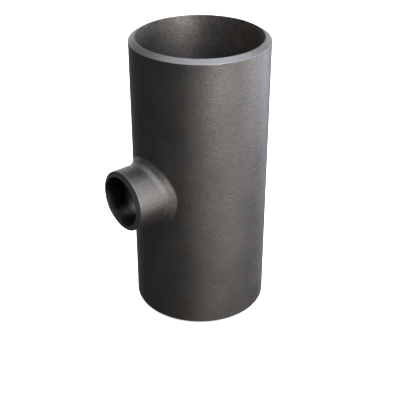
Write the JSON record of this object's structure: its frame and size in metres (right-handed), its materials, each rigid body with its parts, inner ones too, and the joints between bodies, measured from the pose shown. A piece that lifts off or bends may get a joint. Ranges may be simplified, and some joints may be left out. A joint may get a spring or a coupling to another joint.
{
  "type": "reducing butt weld tee",
  "caption": "Seamless steel pipe tee for butt welding: a straight run with a smaller outlet drawn out of its side, every end turned to a weld bevel.",
  "frame": {"origin": "the point where the run's axis and the outlet's axis cross, half way along the run", "axes": "+Z along the run's axis, towards the end that stands uppermost; +X along the outlet's axis, out of the run's side"},
  "size_m": [0.0741, 0.0602, 0.128],
  "materials": {
    "varnished_steel": "blasted carbon steel under a thin dark rust-preventive varnish, with bright turned weld bevels"
  },
  "bodies": {
    "root": {"tee_body": "varnished_steel"}
  },
  "joints": []
}
